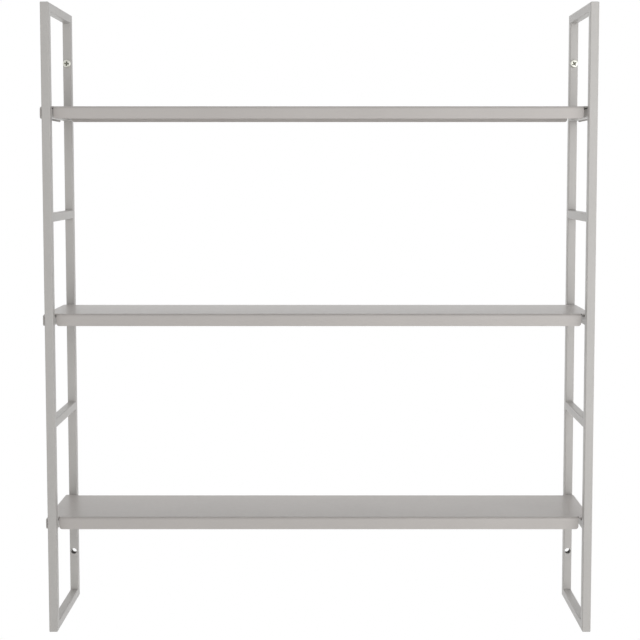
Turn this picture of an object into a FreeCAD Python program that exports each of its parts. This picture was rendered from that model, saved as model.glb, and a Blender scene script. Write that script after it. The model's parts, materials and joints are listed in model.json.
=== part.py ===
import FreeCAD, Part
import os

# A wall shelf of coated steel. Two welded ladder frames of square tube hang on the wall,
# and three folded sheet shelves hook over their rungs.
# Millimetres. X runs along the wall, Y runs into the wall, Z is up.
# The origin lies on the wall's surface, midway between the two upper wall screws.

# Ladder frames
frame_width = 760.0         # over the outside of both ladders
frame_height = 875.0
frame_depth = 150.0         # from the wall to the front of the ladders
tube_size = 12.0
tube_wall = 1.2
tube_corner = 1.4           # outside corner radius of the tube
rung_count = 5

# Wall holes and screws
hole_diameter = 8.8
hole_from_end = 71.5        # from each end of a rear upright to its hole
screw_diameter = 5.0
screw_length = 30.0         # under the head
screw_tip = 6.0             # length of the point
head_diameter = 11.4
head_rim = 1.8              # straight side of the head
head_height = 3.0
recess_span = 6.2
recess_width = 1.7
recess_depth = 2.2

# Folded shelves
sheet = 2.0
bend_radius = 4.0           # outside radius of every fold
lip_height = 17.0           # from the shelf's top to the lower edge of its lips and flanges
edge_corner = 4.0           # rounding of the lower corners of lips and flanges
relief_slit = 1.0           # slit between the end of a fold and the tab beside it

# Pads under the shelf ends
pad_thickness = 1.5
pad_width = 10.0
pad_end_margin = 2.0        # from the front and rear edges of the shelf
pad_bend_gap = 0.7          # from the fold of the flange

# Clearances
front_gap = 2.0             # shelf to the front uprights
head_gap = 2.0              # shelf to the screw heads
flange_play = 1.9           # flange to the outside of the ladder, with the shelf centred
lip_spare = 0.8             # by how much the ends of the lips are clear when the play is used up
right_flange_gap = 0.4      # the shelves stand pushed to the left, this close on the right

# Worked out from the sizes above
half_width = frame_width / 2.0
inner_half = half_width - tube_size
half_tube = tube_size / 2.0
tube_middle = half_width - half_tube
window_front = -frame_depth + tube_size
window_rear = -tube_size
bottom = hole_from_end - frame_height
rung_pitch = (frame_height - tube_size) / (rung_count + 1)
shelf_front = window_front + front_gap
shelf_rear = window_rear - head_height - head_gap
shelf_shift = right_flange_gap - flange_play
lip_half = inner_half - flange_play - lip_spare
flange_half = half_width + flange_play + sheet
shelf_rungs = {"lower_shelf": 1, "middle_shelf": 3, "upper_shelf": 5}
same = 1e-6                 # two lengths this close are the same length


def point(x, y, z):
    return FreeCAD.Vector(x, y, z)


def line(start, end):
    return Part.LineSegment(start, end).toShape()


def quarter(start, centre, end):
    """A quarter circle from start to end, bulging away from its centre."""
    radius = (start - centre).Length
    middle = centre + (start + end - centre * 2.0).normalize() * radius
    return Part.Arc(start, middle, end).toShape()


def prism(corners, sweep):
    """A straight-sided solid: the closed outline of the corners, carried along sweep."""
    return Part.Face(Part.makePolygon(corners + corners[:1])).extrude(sweep)


def box(low, high):
    return Part.makeBox(high.x - low.x, high.y - low.y, high.z - low.z, low)


def square_tube(start, along):
    """A hollow square tube with rounded outer corners, from start along one axis."""
    across = tube_size - 2.0 * tube_wall
    outer = Part.makeBox(tube_size, tube_size, along.Length, point(-half_tube, -half_tube, 0.0))
    long_edges = [edge for edge in outer.Edges if abs(edge.Length - along.Length) < same]
    outer = outer.makeFillet(tube_corner, long_edges)
    bore = Part.makeBox(across, across, along.Length, point(-across / 2.0, -across / 2.0, 0.0))
    tube = outer.cut(bore)
    turn = FreeCAD.Rotation(point(0.0, 0.0, 1.0), along)
    tube.Placement = FreeCAD.Placement(start, turn)
    return tube


def mitred(tube, side, long_edge, short_edge):
    """The tube kept between its long outer edge and its short inner edge, both ends at 45 degrees."""
    corners = [long_edge[0], long_edge[1], short_edge[1], short_edge[0]]
    low_side = side * tube_middle - half_tube
    outline = [point(low_side, y, z) for y, z in corners]
    return tube.common(prism(outline, point(tube_size, 0.0, 0.0)))


def wall_hole(side, height):
    """The drill that goes right through a rear upright, from front to back."""
    start = point(side * tube_middle, -2.0 * tube_size, height)
    return Part.makeCylinder(hole_diameter / 2.0, 3.0 * tube_size, start, point(0.0, 1.0, 0.0))


def ladder(side):
    """The nine tubes of one ladder, by name. Its ring is mitred and its rungs are cut square."""
    top = bottom + frame_height
    middle = side * tube_middle
    upward = point(0.0, 0.0, frame_height)
    wallward = point(0.0, frame_depth, 0.0)
    outer_front_low, outer_front_high = (-frame_depth, bottom), (-frame_depth, top)
    outer_rear_low, outer_rear_high = (0.0, bottom), (0.0, top)
    inner_front_low, inner_front_high = (window_front, bottom + tube_size), (window_front, top - tube_size)
    inner_rear_low, inner_rear_high = (window_rear, bottom + tube_size), (window_rear, top - tube_size)

    front = square_tube(point(middle, -frame_depth + half_tube, bottom), upward)
    rear = square_tube(point(middle, -half_tube, bottom), upward)
    for height in (bottom + hole_from_end, top - hole_from_end):
        rear = rear.cut(wall_hole(side, height))
    high = square_tube(point(middle, -frame_depth, top - half_tube), wallward)
    low = square_tube(point(middle, -frame_depth, bottom + half_tube), wallward)
    tubes = {
        "front_upright": mitred(front, side, (outer_front_low, outer_front_high),
                                (inner_front_low, inner_front_high)),
        "rear_upright": mitred(rear, side, (outer_rear_low, outer_rear_high),
                               (inner_rear_low, inner_rear_high)),
        "top_rail": mitred(high, side, (outer_front_high, outer_rear_high),
                           (inner_front_high, inner_rear_high)),
        "bottom_rail": mitred(low, side, (outer_front_low, outer_rear_low),
                              (inner_front_low, inner_rear_low)),
    }
    for number in range(1, rung_count + 1):
        start = point(middle, window_front, rung_height(number))
        tubes["rung_%d" % number] = square_tube(start, point(0.0, window_rear - window_front, 0.0))
    return tubes


def rung_height(number):
    """The height of a rung's centre line. The ladder is divided evenly from rail to rail."""
    return bottom + half_tube + rung_pitch * number


def shelf_top(number):
    return rung_height(number) + half_tube + pad_thickness + sheet


def lipped_sheet():
    """The shelf between the ladders: a sheet folded down along the front and the rear."""
    x = -lip_half
    inner = bend_radius - sheet
    front, rear = shelf_front, shelf_rear
    front_bend = point(x, front + bend_radius, -bend_radius)
    rear_bend = point(x, rear - bend_radius, -bend_radius)
    across = point(0.0, 1.0, 0.0)
    rise = point(0.0, 0.0, 1.0)
    outline = [
        line(point(x, front, -lip_height), front_bend - across * bend_radius),
        quarter(front_bend - across * bend_radius, front_bend, front_bend + rise * bend_radius),
        line(front_bend + rise * bend_radius, rear_bend + rise * bend_radius),
        quarter(rear_bend + rise * bend_radius, rear_bend, rear_bend + across * bend_radius),
        line(rear_bend + across * bend_radius, point(x, rear, -lip_height)),
        line(point(x, rear, -lip_height), point(x, rear - sheet, -lip_height)),
        line(point(x, rear - sheet, -lip_height), rear_bend + across * inner),
        quarter(rear_bend + across * inner, rear_bend, rear_bend + rise * inner),
        line(rear_bend + rise * inner, front_bend + rise * inner),
        quarter(front_bend + rise * inner, front_bend, front_bend - across * inner),
        line(front_bend - across * inner, point(x, front + sheet, -lip_height)),
        line(point(x, front + sheet, -lip_height), point(x, front, -lip_height)),
    ]
    return Part.Face(Part.Wire(outline)).extrude(point(2.0 * lip_half, 0.0, 0.0))


def end_tab(side):
    """One end of the shelf: a tab that lies over the rung, folded down outside it."""
    y = shelf_front
    inner = bend_radius - sheet
    outward = point(side, 0.0, 0.0)
    rise = point(0.0, 0.0, 1.0)
    root = point(side * lip_half, y, 0.0)
    bend = point(side * (flange_half - bend_radius), y, -bend_radius)
    outer_edge = point(side * flange_half, y, -lip_height)
    inner_edge = point(side * (flange_half - sheet), y, -lip_height)
    outline = [
        line(root, bend + rise * bend_radius),
        quarter(bend + rise * bend_radius, bend, bend + outward * bend_radius),
        line(bend + outward * bend_radius, outer_edge),
        line(outer_edge, inner_edge),
        line(inner_edge, bend + outward * inner),
        quarter(bend + outward * inner, bend, bend + rise * inner),
        line(bend + rise * inner, root - rise * sheet),
        line(root - rise * sheet, root),
    ]
    tab = Part.Face(Part.Wire(outline)).extrude(point(0.0, shelf_rear - shelf_front, 0.0))
    slit_near, slit_far = sorted([side * lip_half, side * (lip_half + relief_slit)])
    for near, far in ((shelf_front, shelf_front + bend_radius), (shelf_rear - bend_radius, shelf_rear)):
        slit = box(point(slit_near, near, -sheet), point(slit_far, far, 0.0))
        tab = tab.cut(slit)
    return tab


def lower_corners(shape):
    """The short edges across the sheet at the lower corners of the lips and flanges."""
    corners = []
    for edge in shape.Edges:
        at_lower_edge = abs(edge.CenterOfMass.z + lip_height) < same
        if at_lower_edge and abs(edge.Length - sheet) < same:
            corners.append(edge)
    return corners


def shelf(number):
    """One folded shelf, lying on its pads over a pair of rungs."""
    folded = lipped_sheet().fuse([end_tab(-1), end_tab(1)]).removeSplitter()
    folded = folded.makeFillet(edge_corner, lower_corners(folded))
    folded.translate(point(shelf_shift, 0.0, shelf_top(number)))
    return folded


def pad(side, number):
    """The strip stuck under one end of a shelf, which lies on the rung."""
    outer = flange_half - bend_radius - pad_bend_gap
    left, right = sorted([side * outer, side * (outer - pad_width)])
    upper = shelf_top(number) - sheet
    low = point(left + shelf_shift, shelf_front + pad_end_margin, upper - pad_thickness)
    high = point(right + shelf_shift, shelf_rear - pad_end_margin, upper)
    return box(low, high)


def wall_screw(side):
    """A screw through the upper wall hole. Its flat, round-shouldered head is on the rear upright's front."""
    rim = head_diameter / 2.0
    shank = screw_diameter / 2.0
    shoulder = head_height - head_rim
    flat = rim - shoulder
    rounding = quarter(point(rim, 0.0, head_rim), point(flat, 0.0, head_rim), point(flat, 0.0, head_height))
    corners = [point(flat, 0.0, head_height), point(0.0, 0.0, head_height), point(0.0, 0.0, -screw_length),
               point(shank, 0.0, screw_tip - screw_length), point(shank, 0.0, 0.0),
               point(rim, 0.0, 0.0), point(rim, 0.0, head_rim)]
    sides = [line(first, second) for first, second in zip(corners, corners[1:])]
    section = Part.Face(Part.Wire(sides + [rounding]))
    screw = section.revolve(point(0.0, 0.0, 0.0), point(0.0, 0.0, 1.0), 360.0)
    long_half, short_half = recess_span / 2.0, recess_width / 2.0
    floor, above = head_height - recess_depth, head_height + recess_depth
    for reach_x, reach_y in ((long_half, short_half), (short_half, long_half)):
        arm = box(point(-reach_x, -reach_y, floor), point(reach_x, reach_y, above))
        screw = screw.cut(arm)
    seat = point(side * tube_middle, window_rear, bottom + frame_height - hole_from_end)
    facing_room = FreeCAD.Rotation(point(0.0, 0.0, 1.0), point(0.0, -1.0, 0.0))
    screw.Placement = FreeCAD.Placement(seat, facing_room)
    return screw


def all_pieces():
    pieces = {}
    for name, side in (("left", -1), ("right", 1)):
        for tube_name, tube in ladder(side).items():
            pieces["%s_%s" % (name, tube_name)] = tube
        pieces["%s_wall_screw" % name] = wall_screw(side)
        for shelf_name, number in shelf_rungs.items():
            pieces["%s_%s_pad" % (shelf_name, name)] = pad(side, number)
    for shelf_name, number in shelf_rungs.items():
        pieces[shelf_name] = shelf(number)
    return pieces


os.makedirs("parts", exist_ok=True)
for node, shape in all_pieces().items():
    shape.exportStep("parts/%s.step" % node)
    print(node, len(shape.Solids), "solid", shape.isValid(), round(shape.Volume), "mm3")
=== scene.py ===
# %% [markdown]
# # A wall shelf of square tube and folded sheet
#
# Two welded ladders of thin square tube hang on a wall, and three folded steel shelves hook over their
# rungs. Everything is coated in one warm light grey, apart from two bright wall screws and the dark
# strips that the shelves lie on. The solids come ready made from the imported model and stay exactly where
# they are. This lesson gives them their finish and adds the forms that are too fine for a solid: the
# threads of the screws, the soft edges of the strips and the beads of weld where rung meets upright.

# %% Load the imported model
import json
import math

import bpy
import numpy as np
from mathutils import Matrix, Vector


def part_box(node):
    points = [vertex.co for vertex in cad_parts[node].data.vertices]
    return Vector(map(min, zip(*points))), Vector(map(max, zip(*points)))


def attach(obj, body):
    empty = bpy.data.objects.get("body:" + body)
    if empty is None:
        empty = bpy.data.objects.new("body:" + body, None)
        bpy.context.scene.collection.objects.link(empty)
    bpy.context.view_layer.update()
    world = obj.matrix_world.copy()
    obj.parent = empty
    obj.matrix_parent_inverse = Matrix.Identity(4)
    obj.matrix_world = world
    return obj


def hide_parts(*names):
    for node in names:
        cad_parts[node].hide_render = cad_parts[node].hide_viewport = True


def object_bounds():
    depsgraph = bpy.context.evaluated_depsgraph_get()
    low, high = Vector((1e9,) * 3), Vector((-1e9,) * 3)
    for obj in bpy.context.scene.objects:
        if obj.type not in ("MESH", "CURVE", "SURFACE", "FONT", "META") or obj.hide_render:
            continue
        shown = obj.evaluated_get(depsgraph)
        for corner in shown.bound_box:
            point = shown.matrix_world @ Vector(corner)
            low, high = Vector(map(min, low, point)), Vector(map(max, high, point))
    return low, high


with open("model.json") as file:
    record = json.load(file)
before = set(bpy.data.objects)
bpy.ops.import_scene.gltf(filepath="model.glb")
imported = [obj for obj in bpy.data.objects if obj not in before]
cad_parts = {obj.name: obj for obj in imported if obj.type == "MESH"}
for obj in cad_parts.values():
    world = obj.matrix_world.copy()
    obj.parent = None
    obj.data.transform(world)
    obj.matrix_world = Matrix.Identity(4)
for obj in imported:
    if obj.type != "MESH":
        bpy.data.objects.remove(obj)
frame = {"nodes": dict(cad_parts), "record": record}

cad_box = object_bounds()
millimetre = 0.001
print("packed box in metres:", [round(value, 4) for corner in cad_box for value in corner])

# %% [markdown]
# ## The camera
#
# A product picture of a shelf is taken straight on, so that the uprights stay upright in the picture. A
# view camera does this by sliding its back, which Blender calls lens shift. Here a part of the slide is
# traded for a small downward tilt, because a large shift would push the object out of the frame in
# other views.

# %% Place the camera
camera_place = (0.0151, -1.799, -0.160)
camera_tilt = math.radians(3.69)
lens_length = 67.6
sensor_width = 36.0
shift_across, shift_up = -0.0167, -0.1094

camera_data = bpy.data.cameras.new("camera")
camera_data.sensor_width = sensor_width
camera_data.lens = lens_length
camera_data.shift_x = shift_across
camera_data.shift_y = shift_up
camera = bpy.data.objects.new("camera", camera_data)
camera.location = camera_place
camera.rotation_euler = (math.radians(90) - camera_tilt, 0, 0)
scene = bpy.context.scene
scene.collection.objects.link(camera)
scene.camera = camera
scene.view_settings.view_transform = "Standard"
print("camera", -camera_place[1], "m in front of the wall, lens", lens_length, "mm")

# %% [markdown]
# ## Helpers for nodes
#
# Every material below is a small network of shader nodes. A few helpers keep the cells short: one adds a
# node and fills in its sockets with values or links, and the others are the nodes that come up most often.

# %% Node helpers
def add_node(tree, kind, inputs=None, **settings):
    """Adds a node, sets its own settings by name and its input sockets by name or number."""
    node = tree.nodes.new(kind)
    for name, value in settings.items():
        setattr(node, name, value)
    for socket, value in (inputs or {}).items():
        if isinstance(value, bpy.types.NodeSocket):
            tree.links.new(value, node.inputs[socket])
        else:
            node.inputs[socket].default_value = value
    return node


def math_value(tree, operation, first, second=0.0):
    """The output of one Math node."""
    return add_node(tree, "ShaderNodeMath", {0: first, 1: second}, operation=operation).outputs[0]


def map_range(tree, value, low, high, new_low, new_high):
    """The output of a Map Range node: low to high stretched onto new_low to new_high, and clamped."""
    inputs = {"Value": value, "From Min": low, "From Max": high, "To Min": new_low, "To Max": new_high}
    return add_node(tree, "ShaderNodeMapRange", inputs).outputs["Result"]


def noise(tree, place, per_metre, detail):
    """The value of a noise with about so many spots to a metre."""
    inputs = {"Vector": place, "Scale": per_metre, "Detail": detail}
    return add_node(tree, "ShaderNodeTexNoise", inputs).outputs[0]


def mix_colours(tree, share, first, second):
    """The first colour where the share is nought, and the second where it is one."""
    return add_node(tree, "ShaderNodeMix", {0: share, 6: first, 7: second}, data_type="RGBA").outputs[2]


helpers = (add_node, math_value, map_range, noise, mix_colours)
print("node helpers:", [helper.__name__ for helper in helpers])

# %% [markdown]
# ## The white room
#
# The shelf was lit in a white room: bright walls in front of it and behind it, dimmer ones to the sides,
# and a ceiling that is lit behind the shelf alone. The wall in front is brighter below than above, which
# leaves a thin dark line along each fold, where the steel faces forwards and up. The room is the world's
# colour, worked out from the direction of a ray. The squares of a direction's three parts add up to one,
# so each part's square is the share of the wall that it points to. The camera itself sees plain white,
# and so do gloss and glass. A sky picture would do the same, but a formula has no file to carry along.

# %% The room's levels
# The low and the high side of each axis.
room_walls = {"X": (0.54, 0.05), "Y": (1.235, 1.70), "Z": (0.18, 0.0)}
ceiling_behind = 1.14
front_slope = 1.0


def white_rays(tree):
    """One for each ray that meets the white background: those of the camera, of gloss and of glass."""
    rays = add_node(tree, "ShaderNodeLightPath").outputs
    mirrored = math_value(tree, "ADD", rays["Is Glossy Ray"], rays["Is Transmission Ray"])
    return math_value(tree, "MINIMUM", math_value(tree, "ADD", mirrored, rays["Is Camera Ray"]), 1.0)


def room_level(tree, parts):
    """The sum over the axes of a direction's squared part times the wall on that side, plus the ceiling
    behind the shelf, less the share of the wall in front times the height times its slope."""
    level = 0.0
    for axis, (low_wall, high_wall) in room_walls.items():
        share = math_value(tree, "MULTIPLY", parts[axis], parts[axis])
        high_side = math_value(tree, "GREATER_THAN", parts[axis])
        wall = map_range(tree, high_side, 0.0, 1.0, low_wall, high_wall)
        level = math_value(tree, "ADD", math_value(tree, "MULTIPLY", share, wall), level)
    above = math_value(tree, "POWER", math_value(tree, "MAXIMUM", parts["Z"], 0.0), 2.0)
    behind = math_value(tree, "MULTIPLY", math_value(tree, "GREATER_THAN", parts["Y"]), ceiling_behind)
    level = math_value(tree, "ADD", level, math_value(tree, "MULTIPLY", above, behind))
    forwards = math_value(tree, "MINIMUM", parts["Y"], 0.0)
    front_share = math_value(tree, "MULTIPLY", forwards, forwards)
    dimming = math_value(tree, "MULTIPLY", parts["Z"], front_slope)
    return math_value(tree, "SUBTRACT", level, math_value(tree, "MULTIPLY", front_share, dimming))


print("room levels:", room_walls, "ceiling behind the shelf:", ceiling_behind, "slope:", front_slope)

# %% The world
world = bpy.data.worlds.new("white_room")
scene.world = world
world.use_nodes = True
tree = world.node_tree
tree.nodes.clear()
direction = add_node(tree, "ShaderNodeTexCoord").outputs["Generated"]
parts = add_node(tree, "ShaderNodeSeparateXYZ", {0: direction}).outputs
level = room_level(tree, parts)
strength = add_node(tree, "ShaderNodeMix", {0: white_rays(tree), 2: level, 3: 1.0}).outputs[0]
background = add_node(tree, "ShaderNodeBackground", {"Color": (1.0, 1.0, 1.0, 1.0), "Strength": strength})
add_node(tree, "ShaderNodeOutputWorld", {"Surface": background.outputs[0]})
print("world", world.name, "with", len(tree.nodes), "nodes")

# %% [markdown]
# ## The soft lamp
#
# One large lamp stands to the right of the camera and makes the right-hand faces a little brighter than
# the left-hand ones. A small lamp would leave hard glints on the satin coat, and one as wide as the
# room's wall spreads them out, as a studio's cloth-covered lamp does.

# %% Place the lamp
lamp_place = Vector((1.25, -1.70, -0.20))
lamp_aim = Vector((0.0, -0.08, -0.35))
lamp_side = 2.0
lamp_power = 20.6

lamp_data = bpy.data.lights.new("soft_lamp", "AREA")
lamp_data.size = lamp_side
lamp_data.energy = lamp_power
lamp = bpy.data.objects.new("soft_lamp", lamp_data)
lamp.location = lamp_place
lamp.rotation_euler = (lamp_aim - lamp_place).to_track_quat("-Z", "Y").to_euler()
scene.collection.objects.link(lamp)
print("soft lamp", round((lamp_aim - lamp_place).length, 2), "m from the middle of the shelf")

# %% [markdown]
# ## The floor
#
# The shelf hangs on a wall, so the floor lies well below it and only catches a faint shadow. It is a plain
# pale sheet. It glows a little where it is looked at, as if it were lit from its other side too, which
# keeps it pale and leaves the shadow. Towards its rim it turns to the white of the background, so that no
# edge shows, and from below it is clear.

# %% Lay the floor
floor_drop = 0.8
floor_half = 2.2
floor_height = cad_box[0].z - floor_drop
floor_mesh = bpy.data.meshes.new("floor")
signs = ((-1, -1), (1, -1), (1, 1), (-1, 1))
rim = [(x * floor_half, y * floor_half, floor_height) for x, y in signs]
floor_mesh.from_pydata(rim, [], [(0, 1, 2, 3)])
floor = bpy.data.objects.new("floor", floor_mesh)
scene.collection.objects.link(floor)
print("floor", round(-floor_height, 3), "m below the upper wall screws")

# %% Colour the floor
floor_tones = (0.80, 0.80, 0.79, 1.0), (0.84, 0.84, 0.83, 1.0)
floor_clouds = 3.0
floor_glow = 0.32
fade_from, fade_to = 0.5, 1.4

pale = bpy.data.materials.new("pale_floor")
pale.use_nodes = True
tree = pale.node_tree
tree.nodes.clear()
place = add_node(tree, "ShaderNodeTexCoord").outputs["Object"]
no_height = {0: place, 1: (1.0, 1.0, 0.0)}
flat = add_node(tree, "ShaderNodeVectorMath", no_height, operation="MULTIPLY").outputs[0]
distance = add_node(tree, "ShaderNodeVectorMath", {0: flat}, operation="LENGTH").outputs["Value"]
tone = mix_colours(tree, noise(tree, place, floor_clouds, 3.0), *floor_tones)
seen = white_rays(tree)
glow_level = math_value(tree, "MULTIPLY", seen, floor_glow)
paper = add_node(tree, "ShaderNodeBsdfDiffuse", {"Color": tone}).outputs[0]
glow = add_node(tree, "ShaderNodeEmission", {"Color": tone, "Strength": glow_level}).outputs[0]
lit_paper = add_node(tree, "ShaderNodeAddShader", {0: paper, 1: glow}).outputs[0]
white = add_node(tree, "ShaderNodeEmission", {"Color": (1.0, 1.0, 1.0, 1.0)}).outputs[0]
fade = math_value(tree, "MULTIPLY", map_range(tree, distance, fade_from, fade_to, 0.0, 1.0), seen)
melted = add_node(tree, "ShaderNodeMixShader", {0: fade, 1: lit_paper, 2: white}).outputs[0]
from_below = add_node(tree, "ShaderNodeNewGeometry").outputs["Backfacing"]
clear = add_node(tree, "ShaderNodeBsdfTransparent").outputs[0]
one_sided = add_node(tree, "ShaderNodeMixShader", {0: from_below, 1: melted, 2: clear}).outputs[0]
add_node(tree, "ShaderNodeOutputMaterial", {"Surface": one_sided})
floor_mesh.materials.append(pale)
print("floor fades to white from", fade_from, "to", fade_to, "m")

# %% [markdown]
# ## The coat's skin
#
# The steel is powder coated: dry paint is blown on, clings by its charge and is baked until it flows.
# Close up such a coat is a little wavy, like the peel of an orange, and finely grained, and its tone drifts
# by a hair from place to place. All of these are noise at different sizes. They go into one node group,
# because the tubes and the shelves share the coat, and rubber has a skin of the same kind.

# %% Group: coat skin
clouds_per_metre, grains_per_metre, patches_per_metre = 11.0, 1250.0, 140.0
gloss_swing = 0.04


def new_group(name, inputs, outputs):
    """Starts a shader node group with named sockets. Returns its tree, its inputs and its output node."""
    tree = bpy.data.node_groups.new(name, "ShaderNodeTree")
    for socket, kind in inputs.items():
        tree.interface.new_socket(socket, in_out="INPUT", socket_type=kind)
    for socket, kind in outputs.items():
        tree.interface.new_socket(socket, in_out="OUTPUT", socket_type=kind)
    return tree, tree.nodes.new("NodeGroupInput").outputs, tree.nodes.new("NodeGroupOutput")


def coat_skin_group():
    """Noise at four sizes: waves for the normal, patches for the gloss, clouds and grains for the tone."""
    number, vector, colour = "NodeSocketFloat", "NodeSocketVector", "NodeSocketColor"
    inputs = {"Vector": vector, "Colour": colour, "Normal": vector, "Drift": number, "Grain": number,
              "Peel Size": number, "Peel Depth": number, "Roughness": number}
    outputs = {"Colour": colour, "Roughness": number, "Normal": vector}
    tree, given, result = new_group("coat_skin", inputs, outputs)
    place = given["Vector"]
    waves = noise(tree, place, math_value(tree, "DIVIDE", 1.0, given["Peel Size"]), 1.0)
    bump = add_node(tree, "ShaderNodeBump", {"Height": waves, "Distance": given["Peel Depth"],
                                             "Normal": given["Normal"]})
    clouds = noise(tree, place, clouds_per_metre, 4.0)
    grains = noise(tree, place, grains_per_metre, 2.0)
    shade = 1.0
    for spots, swing in ((clouds, given["Drift"]), (grains, given["Grain"])):
        lighter, darker = math_value(tree, "ADD", 1.0, swing), math_value(tree, "SUBTRACT", 1.0, swing)
        shade = math_value(tree, "MULTIPLY", map_range(tree, spots, 0.3, 0.7, darker, lighter), shade)
    tone = add_node(tree, "ShaderNodeVectorMath", {0: given["Colour"], "Scale": shade}, operation="SCALE")
    patches = noise(tree, place, patches_per_metre, 2.0)
    dulled = map_range(tree, patches, 0.2, 0.8, -gloss_swing, gloss_swing)
    gloss = math_value(tree, "ADD", given["Roughness"], dulled)
    for name, socket in (("Colour", tone.outputs[0]), ("Roughness", gloss), ("Normal", bump.outputs[0])):
        tree.links.new(socket, result.inputs[name])
    return tree


coat_skin = coat_skin_group()
print("group", coat_skin.name, "with", len(coat_skin.nodes), "nodes")

# %% [markdown]
# ## Soft edges
#
# No edge on a coated part is sharp: paint pulls back from it as it flows, so that it is thinner there.
# Along every edge the coat is painted a touch lighter, partly for that thinner paint and partly as a
# painted highlight where a rounded edge catches the light. Cutting a tiny round along every edge would cost
# many faces. Instead the Bevel node works out the normal that such a round would have, and how far it
# differs from the true one says how close the edge is.

# %% Group: edge round
def edge_round_group():
    """The rounded normal, and a mask: one minus the cosine between it and the true normal, stretched."""
    tree, given, result = new_group("edge_round", {"Radius": "NodeSocketFloat"},
                                    {"Normal": "NodeSocketVector", "Edge": "NodeSocketFloat"})
    rounded = add_node(tree, "ShaderNodeBevel", {"Radius": given["Radius"]}, samples=6).outputs[0]
    flat = add_node(tree, "ShaderNodeNewGeometry").outputs["Normal"]
    cosine = add_node(tree, "ShaderNodeVectorMath", {0: rounded, 1: flat}, operation="DOT_PRODUCT")
    edge = map_range(tree, cosine.outputs["Value"], 1.0, 0.8, 0.0, 1.0)
    tree.links.new(rounded, result.inputs["Normal"])
    tree.links.new(edge, result.inputs["Edge"])
    return tree


edge_round = edge_round_group()
print("group", edge_round.name, "with", len(edge_round.nodes), "nodes")

# %% [markdown]
# ## Grey coat
#
# Both coats are the same paint. The shelves are large flat sheets, on which the waves lie a little wider
# than on the narrow tubes, so each has a material of its own with its own values in the same two groups.

# %% Material helpers
def new_material(name):
    """Starts a material. Returns it, its tree, its shader and the place of a point on the piece."""
    material = bpy.data.materials.new(name)
    material.use_nodes = True
    tree = material.node_tree
    place = add_node(tree, "ShaderNodeTexCoord").outputs["Object"]
    return material, tree, tree.nodes["Principled BSDF"], place


def feed_shader(tree, shader, colour, roughness, normal):
    """Links to the shader what changes over the surface."""
    for name, socket in (("Base Color", colour), ("Roughness", roughness), ("Normal", normal)):
        tree.links.new(socket, shader.inputs[name])


print("material helpers:", new_material.__name__, feed_shader.__name__)

# %% Grey coats
tube_grey = (0.445, 0.431, 0.414, 1.0)
shelf_grey = (0.450, 0.425, 0.406, 1.0)
# Edges are painted lighter: partly the thinner coat there, partly a painted highlight.
thin_coat_and_highlight_grey = (0.52, 0.51, 0.49, 1.0)
thin_coat_and_highlight_share = 0.25
coat_edge = 0.4 * millimetre
coat_drift, coat_grain, coat_roughness, coat_sheen = 0.018, 0.045, 0.34, 0.5


def grey_coat(name, colour, peel_size, peel_depth):
    """A satin coat: one skin, one soft edge, and a plain gloss set on the shader itself."""
    coat, tree, shader, place = new_material(name)
    edge = add_node(tree, "ShaderNodeGroup", {"Radius": coat_edge}, node_tree=edge_round).outputs
    values = {"Vector": place, "Colour": colour, "Normal": edge["Normal"], "Drift": coat_drift,
              "Grain": coat_grain, "Peel Size": peel_size, "Peel Depth": peel_depth,
              "Roughness": coat_roughness}
    skin = add_node(tree, "ShaderNodeGroup", values, node_tree=coat_skin).outputs
    # Painted highlight along the edges, together with the thinner coat's lighter tone.
    thin_coat_and_highlight = math_value(tree, "MULTIPLY", edge["Edge"], thin_coat_and_highlight_share)
    tone = mix_colours(tree, thin_coat_and_highlight, skin["Colour"], thin_coat_and_highlight_grey)
    feed_shader(tree, shader, tone, skin["Roughness"], skin["Normal"])
    shader.inputs["Specular IOR Level"].default_value = coat_sheen
    return coat


tube_coat = grey_coat("satin_tube", tube_grey, 1.5 * millimetre, 0.030 * millimetre)
shelf_coat = grey_coat("satin_shelf", shelf_grey, 1.9 * millimetre, 0.036 * millimetre)
print("coats:", tube_coat.name, shelf_coat.name)

# %% [markdown]
# ## Zinc plate
#
# The wall screws are plated with zinc, a bright metal with a faint yellow cast from its passivation, and
# the head keeps the fine rings of the die that pressed it. Rings need a centre: the two screws stand at
# mirrored places, so the distance is measured with the sign of X taken away. The cross in the head is
# painted dark and dull as painted shade, standing in for the shade deep in the recess. A mask of radius and
# depth finds it, which is simpler than a second material for the few faces inside the cross.

# %% Where the screw is
left_screw_low, left_screw_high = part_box("left_wall_screw")
screw_middle = (left_screw_low + left_screw_high) / 2.0
seat_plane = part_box("left_rear_upright")[0].y
print("screw heads stand", round((seat_plane - left_screw_low.y) / millimetre, 2), "mm proud of the tube")

# %% Zinc values
cool_zinc, warm_zinc = (0.59, 0.59, 0.565, 1.0), (0.67, 0.665, 0.58, 1.0)
zinc_spots = 900.0
zinc_gloss = (0.34, 0.46)
zinc_edge = 0.15 * millimetre
ring_step, ring_depth = 0.22 * millimetre, 0.002 * millimetre
# Where and how dark the painted shade in the cross is: it stands for the shade inside the recess.
recess_shade_reach = 3.4 * millimetre
recess_shade_depths = (0.1 * millimetre, 0.8 * millimetre)
recess_shade_colour = (0.22, 0.22, 0.18, 1.0)
recess_shade_dullness, edge_polish = 0.2, -0.08
print("zinc rings every", ring_step / millimetre, "mm")

# %% Rings on the head and painted shade in the cross
zinc, tree, shader, place = new_material("bright_zinc")
axes = add_node(tree, "ShaderNodeSeparateXYZ", {0: place}).outputs
sideways = math_value(tree, "ADD", math_value(tree, "ABSOLUTE", axes["X"]), screw_middle.x)
upwards = math_value(tree, "SUBTRACT", axes["Z"], screw_middle.z)
flat_place = add_node(tree, "ShaderNodeCombineXYZ", {"X": sideways, "Y": upwards}).outputs[0]
radius = add_node(tree, "ShaderNodeVectorMath", {0: flat_place}, operation="LENGTH").outputs["Value"]
rings = math_value(tree, "SINE", math_value(tree, "MULTIPLY", radius, 2.0 * math.pi / ring_step))

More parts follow.
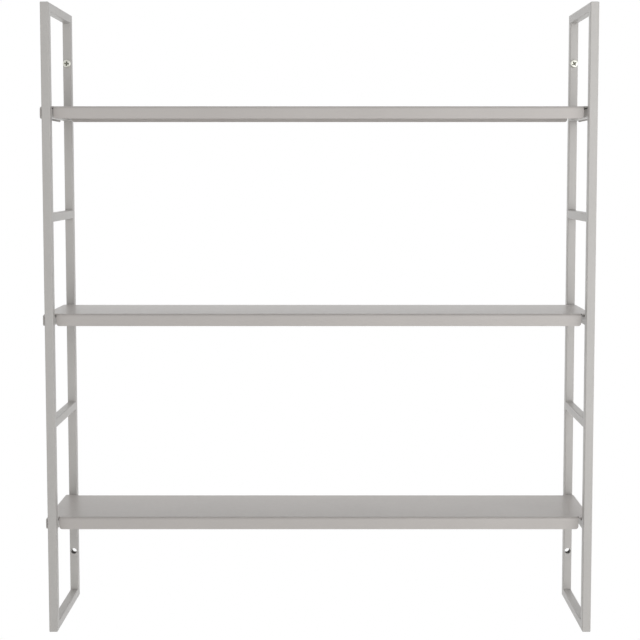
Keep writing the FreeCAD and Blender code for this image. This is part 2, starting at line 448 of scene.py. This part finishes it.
# Painted shade: a mask for the inside of the cross, near the middle of the head and below its face.
in_head = math_value(tree, "LESS_THAN", axes["Y"], seat_plane)
in_middle = map_range(tree, radius, recess_shade_reach, 0.9 * recess_shade_reach, 0.0, 1.0)
below_face = math_value(tree, "SUBTRACT", axes["Y"], left_screw_low.y)
recess_shade = math_value(tree, "MULTIPLY", map_range(tree, below_face, *recess_shade_depths, 0.0, 1.0), in_middle)
recess_shade = math_value(tree, "MULTIPLY", recess_shade, in_head)
print("film lies within", recess_shade_reach / millimetre, "mm of the middle of the head")

# %% Zinc
cloud = noise(tree, place, zinc_spots, 3.0)
# The painted shade darkens the tint inside the cross, and below it also dulls the gloss there.
tint = mix_colours(tree, recess_shade, mix_colours(tree, cloud, cool_zinc, warm_zinc), recess_shade_colour)
edge = add_node(tree, "ShaderNodeGroup", {"Radius": zinc_edge}, node_tree=edge_round).outputs
ripples = {"Height": rings, "Distance": ring_depth, "Normal": edge["Normal"]}
bump = add_node(tree, "ShaderNodeBump", ripples)
polished = math_value(tree, "MULTIPLY", edge["Edge"], edge_polish)
gloss = math_value(tree, "ADD", map_range(tree, cloud, 0.3, 0.7, *zinc_gloss), polished)
gloss = math_value(tree, "ADD", gloss, math_value(tree, "MULTIPLY", recess_shade, recess_shade_dullness))
feed_shader(tree, shader, tint, gloss, bump.outputs[0])
shader.inputs["Metallic"].default_value = 1.0
print("zinc:", zinc.name, "with", len(tree.nodes), "nodes")

# %% [markdown]
# ## Grey rubber
#
# The strips under the shelf ends are soft dark grey rubber with a dusty bloom along their edges. The skin
# group serves here too, with smaller waves, a stronger drift and no gloss to speak of.

# %% Rubber
rubber_grey, dusty_grey = (0.115, 0.113, 0.108, 1.0), (0.18, 0.177, 0.170, 1.0)
rubber_edge = 0.3 * millimetre
rubber_waves, rubber_wave_depth = 0.4 * millimetre, 0.02 * millimetre
rubber_drift, rubber_grain, rubber_roughness = 0.15, 0.1, 0.78
rubber_sheen = 0.35
dust_share = 0.5

rubber, tree, shader, place = new_material("grey_rubber")
edge = add_node(tree, "ShaderNodeGroup", {"Radius": rubber_edge}, node_tree=edge_round).outputs
values = {"Vector": place, "Colour": rubber_grey, "Normal": edge["Normal"], "Drift": rubber_drift,
          "Grain": rubber_grain, "Peel Size": rubber_waves, "Peel Depth": rubber_wave_depth,
          "Roughness": rubber_roughness}
skin = add_node(tree, "ShaderNodeGroup", values, node_tree=coat_skin).outputs
dusty = math_value(tree, "MULTIPLY", edge["Edge"], dust_share)
tone = mix_colours(tree, dusty, skin["Colour"], dusty_grey)
feed_shader(tree, shader, tone, skin["Roughness"], skin["Normal"])
shader.inputs["Specular IOR Level"].default_value = rubber_sheen
print("rubber:", rubber.name, "with", len(tree.nodes), "nodes")

# %% [markdown]
# ## Dressing the solids
#
# The record names a finish for every solid. Each one trades the plain colour it was packed with for the
# material that stands for that finish, and nothing else about it changes.

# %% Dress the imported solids
finishes = {"tube_coat": tube_coat, "shelf_coat": shelf_coat, "screw_zinc": zinc, "pad_rubber": rubber}
for row in frame["record"]["subparts"]:
    solid = frame["nodes"][row["node"]]
    solid.data.materials.clear()
    solid.data.materials.append(finishes[row["material_slot"]])

# %% [markdown]
# ## Helpers for surfaces
#
# Each new piece is a surface worked out as whole arrays: a grid of points, the squares between neighbouring
# points, and a fan of triangles where a row shrinks to a single point. A closed surface has to face
# outwards, and the sign of its enclosed volume tells whether it does, so the piece is turned right side out
# where that is needed.

# %% Faces of a grid
def grid_faces(rows, columns, wrap_rows=False):
    """Squares between neighbours of a grid that is numbered row by row and closed across its columns."""
    row = np.arange(rows if wrap_rows else rows - 1)[:, None]
    column = np.arange(columns)[None, :]
    next_row, next_column = (row + 1) % rows, (column + 1) % columns
    corners = (row * columns + column, row * columns + next_column,
               next_row * columns + next_column, next_row * columns + column)
    return np.stack(np.broadcast_arrays(*corners), axis=-1).reshape(-1, 4)


def capped_faces(rows, columns):
    """A grid closed across its columns, with a fan at each end to the two points that follow the grid."""
    first = np.arange(columns)
    last = first + (rows - 1) * columns
    near = np.column_stack([np.roll(first, -1), first, np.full(columns, rows * columns)])
    far = np.column_stack([last, np.roll(last, -1), np.full(columns, rows * columns + 1)])
    return [grid_faces(rows, columns), near, far]


print("a grid of 3 by 8 with two fans has", sum(len(corners) for corners in capped_faces(3, 8)), "faces")

# %% Volume inside a surface
def enclosed_volume(points, faces):
    """A sixth of the sum of the triple products of all triangles, with squares split in two."""
    total = 0.0
    for corners in faces:
        for k in range(1, corners.shape[1] - 1):
            first, second, third = (points[corners[:, i]] for i in (0, k, k + 1))
            total += np.einsum("ij,ij->", first, np.cross(second, third)) / 6.0
    return total


cube_corner = np.vstack([np.zeros(3), np.eye(3)])
four_sides = np.array([[0, 2, 1], [0, 1, 3], [0, 3, 2], [1, 2, 3]])
print("a corner cut off a unit cube encloses", round(enclosed_volume(cube_corner, [four_sides]), 4))


# %% From arrays to a piece
def new_piece(name, points, faces, finish, body, replaced=(), sharp_angle=40.0):
    """Puts arrays into a mesh that faces outwards, and gives it a finish, a body and what it replaces."""
    centred = points - points.mean(axis=0)
    if enclosed_volume(centred, faces) < 0.0:
        faces = [corners[:, ::-1] for corners in faces]
    mesh = bpy.data.meshes.new(name)
    mesh.from_pydata(points.tolist(), [], [face for corners in faces for face in corners.tolist()])
    mesh.shade_smooth()
    mesh.set_sharp_from_angle(angle=math.radians(sharp_angle))
    mesh.materials.append(finish)
    piece = bpy.data.objects.new(name, mesh)
    scene.collection.objects.link(piece)
    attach(piece, body)
    if replaced:
        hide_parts(*replaced)
    volume = enclosed_volume(centred, faces) / millimetre ** 3
    print(name, len(mesh.polygons), "faces,", round(volume, 1), "mm3")
    return piece


# %% [markdown]
# ## Wall screws
#
# A pan-head screw with a cross recess goes through each rear upright into the wall. Its surface is one
# grid: rows run from the middle of the head over the rim and down the shank to the point, and columns run
# round the axis. The cross is a dent in the head, and the thread is a ridge that climbs by one pitch in
# each turn. A helix swept as a curve would need joining to the core afterwards, and a formula for the
# radius has it joined from the start.

# %% Screw sizes
head_radius = (left_screw_high.x - left_screw_low.x) / 2.0
head_height = seat_plane - left_screw_low.y
screw_length = left_screw_high.y - seat_plane
head_rim = 1.8 * millimetre
head_flatness = 7.0
cross_span, cross_width, cross_depth = 6.2 * millimetre, 1.7 * millimetre, 2.2 * millimetre
cross_wall = 0.3 * millimetre
thread_radius, core_radius = 2.5 * millimetre, 1.65 * millimetre
thread_pitch = 2.2 * millimetre
thread_start = 4.0 * millimetre
groove_share, flank_share = 0.5, 0.42
point_length, blunt_share = 6.0 * millimetre, 0.05
print("head", round(2000 * head_radius, 2), "mm across,", round(1000 * screw_length, 1), "mm under it")


# %% Head and shank
def head_depth(reach, angle, turn):
    """Along the axis from the seat: minus the rim and a flat dome, which is the square root of one minus a
    high power of the reach, plus the cross, a dent that is deepest in the middle and fades at the edge of
    two crossing bars."""
    dome = (head_height - head_rim) * np.sqrt(1.0 - (reach / head_radius) ** head_flatness)
    u = np.abs(reach * np.cos(angle + turn))
    v = np.abs(reach * np.sin(angle + turn))
    along = np.maximum(u - cross_span / 2.0, v - cross_width / 2.0)
    across = np.maximum(v - cross_span / 2.0, u - cross_width / 2.0)
    inside = np.clip(0.5 - np.minimum(along, across) / cross_wall, 0.0, 1.0)
    dent = cross_depth * (1.0 - 0.5 * (2.0 * reach / cross_span) ** 2).clip(0.0, 1.0)
    return -(head_rim + dome) + inside * dent


def shank_radius(depth, angle):
    """The core's radius plus a narrow ridge wherever depth in pitches plus the turn is near a whole number.
    The ridge grows in under the head, and all of it narrows evenly along the point."""
    phase = (depth / thread_pitch + angle / (2.0 * np.pi)) % 1.0
    ridge = np.clip((np.abs(2.0 * phase - 1.0) - groove_share) / flank_share, 0.0, 1.0)
    grown = np.clip((depth - thread_start) / thread_pitch, 0.0, 1.0)
    narrowing = np.clip((screw_length - depth) / point_length, blunt_share, 1.0)
    return (core_radius + (thread_radius - core_radius) * ridge * grown) * narrowing


print("thread turns:", round((screw_length - thread_start) / thread_pitch, 1))


# %% Both screws
def screw_points(centre_x, centre_z, turn, columns=96):
    """Rows over the head, down the rim, under the head and along the shank, then the two end points."""
    angle = np.linspace(0.0, 2.0 * np.pi, columns, endpoint=False)[None, :]
    inner = np.linspace(0.02, 0.94, 42)  # shares of the head's radius
    outer = 1.0 - (1.0 - inner[-1]) * np.linspace(1.0, 0.0, 10)[1:] ** 2  # closer together at the rim
    reach = np.concatenate([inner, outer])[:, None] * head_radius
    depth = np.linspace(0.0, 0.995, 220)[:, None] * screw_length
    rim = np.array([[0.0], [0.5], [1.0]])
    full = np.ones_like(angle)
    radii = [reach * full, head_radius * (1.0 - 0.03 * rim ** 4) * full, shank_radius(depth, angle)]
    depths = [head_depth(reach, angle, turn), (rim - 1.0) * head_rim * full, depth * full]
    radius, along = np.concatenate(radii), np.concatenate(depths)
    turned = np.broadcast_to(angle, radius.shape)
    across, up = radius * np.cos(turned), radius * np.sin(turned)
    grid = np.stack([centre_x + across, seat_plane + along, centre_z + up], axis=-1)
    ends = [[centre_x, seat_plane - head_height + cross_depth, centre_z],
            [centre_x, seat_plane + screw_length, centre_z]]
    return np.concatenate([grid.reshape(-1, 3), np.array(ends)]), radius.shape


for side, turn in (("left", math.radians(8)), ("right", math.radians(-32))):
    low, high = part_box(side + "_wall_screw")
    points, shape = screw_points((low.x + high.x) / 2.0, (low.z + high.z) / 2.0, turn)
    new_piece(side + "_pan_screw", points, capped_faces(*shape), zinc, "wall_frame",
              [side + "_wall_screw"], sharp_angle=35.0)

# %% [markdown]
# ## Rubber strips
#
# Each end of a shelf lies on a strip of rubber, which keeps steel from scraping on steel. A cut strip has
# soft long edges and rounded ends. A rounded rectangle is carried along the strip, and it shrinks towards
# both ends along a quarter circle. A cube with a Bevel modifier would come close, but its ends would stay
# as square as its sides.

# %% Rounded rectangle
def rounded_rectangle(half_wide, half_high, radius, count):
    """Points at even steps along four quarter circles joined by lines, from the middle of a side."""
    sweep = np.linspace(0.0, np.pi / 2.0, 13)[None, :] + np.arange(4)[:, None] * np.pi / 2.0
    sign_wide = np.array([1.0, -1.0, -1.0, 1.0])[:, None]
    sign_high = np.array([1.0, 1.0, -1.0, -1.0])[:, None]
    wide = (sign_wide * (half_wide - radius) + radius * np.cos(sweep)).ravel()
    high = (sign_high * (half_high - radius) + radius * np.sin(sweep)).ravel()
    wide = np.concatenate([[half_wide], wide, [half_wide]])
    high = np.concatenate([[0.0], high, [0.0]])
    walked = np.concatenate([[0.0], np.cumsum(np.hypot(np.diff(wide), np.diff(high)))])
    steps = np.linspace(0.0, walked[-1], count, endpoint=False)
    return np.column_stack([np.interp(steps, walked, wide), np.interp(steps, walked, high)])


print("a 4 by 2 rectangle, rounded:", rounded_rectangle(2.0, 1.0, 0.5, 8).round(2).tolist())


# %% Strips
def strip_points(low, high, edge, columns=64):
    """A rounded rectangle across X and Z, carried along Y and drawn in by a quarter circle at each end."""
    half = (high - low) / 2.0
    middle = (high + low) / 2.0
    bow = np.linspace(0.0, np.pi / 2.0, 9)
    end = half[1] - edge * (1.0 - np.sin(bow))
    drawn_in = edge * (1.0 - np.cos(bow))
    straight = np.linspace(-end[0], end[0], 25)[1:-1]
    along = np.concatenate([-end[::-1], straight, end])
    inset = np.concatenate([drawn_in[::-1], np.zeros(len(straight)), drawn_in])[:, None, None]
    section = rounded_rectangle(half[0], half[2], edge, columns)[None, :, :]
    shrink = 1.0 - inset / np.array([half[0], half[2]])
    across = section * shrink
    lengthwise = np.broadcast_to(along[:, None], across.shape[:2])
    grid = np.stack([across[..., 0], lengthwise, across[..., 1]], axis=-1)
    ends = np.array([[0.0, along[0], 0.0], [0.0, along[-1], 0.0]])
    return np.concatenate([grid.reshape(-1, 3), ends]) + middle, across.shape[:2]


strip_edge = 0.7 * millimetre
for shelf in ("lower_shelf", "middle_shelf", "upper_shelf"):
    for side in ("left", "right"):
        node = "%s_%s_pad" % (shelf, side)
        low, high = (np.array(corner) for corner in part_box(node))
        points, shape = strip_points(low, high, strip_edge)
        new_piece("%s_%s_strip" % (shelf, side), points, capped_faces(*shape), rubber,
                  shelf + "_set", [node])

# %% [markdown]
# ## Welds
#
# A rung is cut square and welded between the uprights all round. Above and below it the weld is a small
# hollow fillet with faint ripples. At the sides, where rung and upright are flush, it fills the groove
# that the upright's round corner leaves, and is ground flat. One ring does both: its inner line follows the
# rung, its outer line follows the upright, and a curve between the two is pulled into the corner.

# %% Weld ring
tube_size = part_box("left_rung_2")[1].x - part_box("left_rung_2")[0].x
tube_corner = 1.4 * millimetre
weld_leg = 1.7 * millimetre
weld_sink, weld_swell = 0.01 * millimetre, 0.05 * millimetre
ripple_height, ripple_step = 0.05 * millimetre, 1.1 * millimetre
buried_share, buried_depth = 0.8, 0.3 * millimetre


def weld_ring(columns=192, steps=7):
    """One weld in its own place: across, along the rung and up. The outer skin is a quadratic curve from
    the rung to the upright with its middle point in the corner, and two buried lines close the ring."""
    half = tube_size / 2.0
    on_rung = rounded_rectangle(half, half, tube_corner, columns)
    on_upright = rounded_rectangle(half, half + weld_leg, tube_corner + weld_leg, columns)
    round_off = np.clip(np.abs(on_upright[:, 0]) - (half - tube_corner), 0.0, tube_corner)
    set_back = np.sqrt(tube_corner ** 2 - round_off ** 2) - tube_corner
    start = np.column_stack([on_rung[:, 0], np.full(columns, weld_leg), on_rung[:, 1]])
    end = np.column_stack([on_upright[:, 0], set_back, on_upright[:, 1]])
    corner = np.column_stack([on_rung[:, 0], set_back, on_rung[:, 1]])
    t = np.linspace(0.0, 1.0, steps)[:, None, None]
    skin = (1.0 - t) ** 2 * start + 2.0 * t * (1.0 - t) * corner + t ** 2 * end
    outward = on_rung / np.linalg.norm(on_rung, axis=1, keepdims=True)
    walked = np.arange(columns) * (8.0 * half / columns)
    upper_or_lower = np.clip(np.abs(on_rung[:, 1]) / half, 0.0, 1.0) ** 8
    ripple = ripple_height * upper_or_lower * np.cos(2.0 * np.pi * walked / ripple_step)
    lift = np.sin(np.pi * t[..., 0]) * (weld_swell + ripple) - weld_sink
    skin[..., 0] += lift * outward[:, 0]
    skin[..., 2] += lift * outward[:, 1]
    buried = np.array([buried_share, 1.0, buried_share])
    return np.concatenate([skin, [end * buried - [0.0, buried_depth, 0.0]], [start * buried]])


ring = weld_ring()
ring_faces = grid_faces(ring.shape[0], ring.shape[1], wrap_rows=True)
print("one weld:", ring.shape[0], "by", ring.shape[1], "points")

# %% Weld every rung
for side in ("left", "right"):
    joints = []
    for number in range(1, 6):
        low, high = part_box("%s_rung_%d" % (side, number))
        middle = (low + high) / 2.0
        joints += [(middle.x, low.y, middle.z, 1.0), (middle.x, high.y, middle.z, -1.0)]
    joints = np.array(joints)
    facing = np.ones((len(joints), 1, 3))
    facing[:, 0, 1] = joints[:, 3]
    points = ring.reshape(1, -1, 3) * facing + joints[:, None, :3]
    numbers = ring_faces[None] + np.arange(len(joints))[:, None, None] * (ring.shape[0] * ring.shape[1])
    mirrored = joints[:, 3] < 0.0
    numbers[mirrored] = numbers[mirrored][..., ::-1]
    new_piece(side + "_rung_welds", points.reshape(-1, 3), [numbers.reshape(-1, 4)], tube_coat,
              "wall_frame")
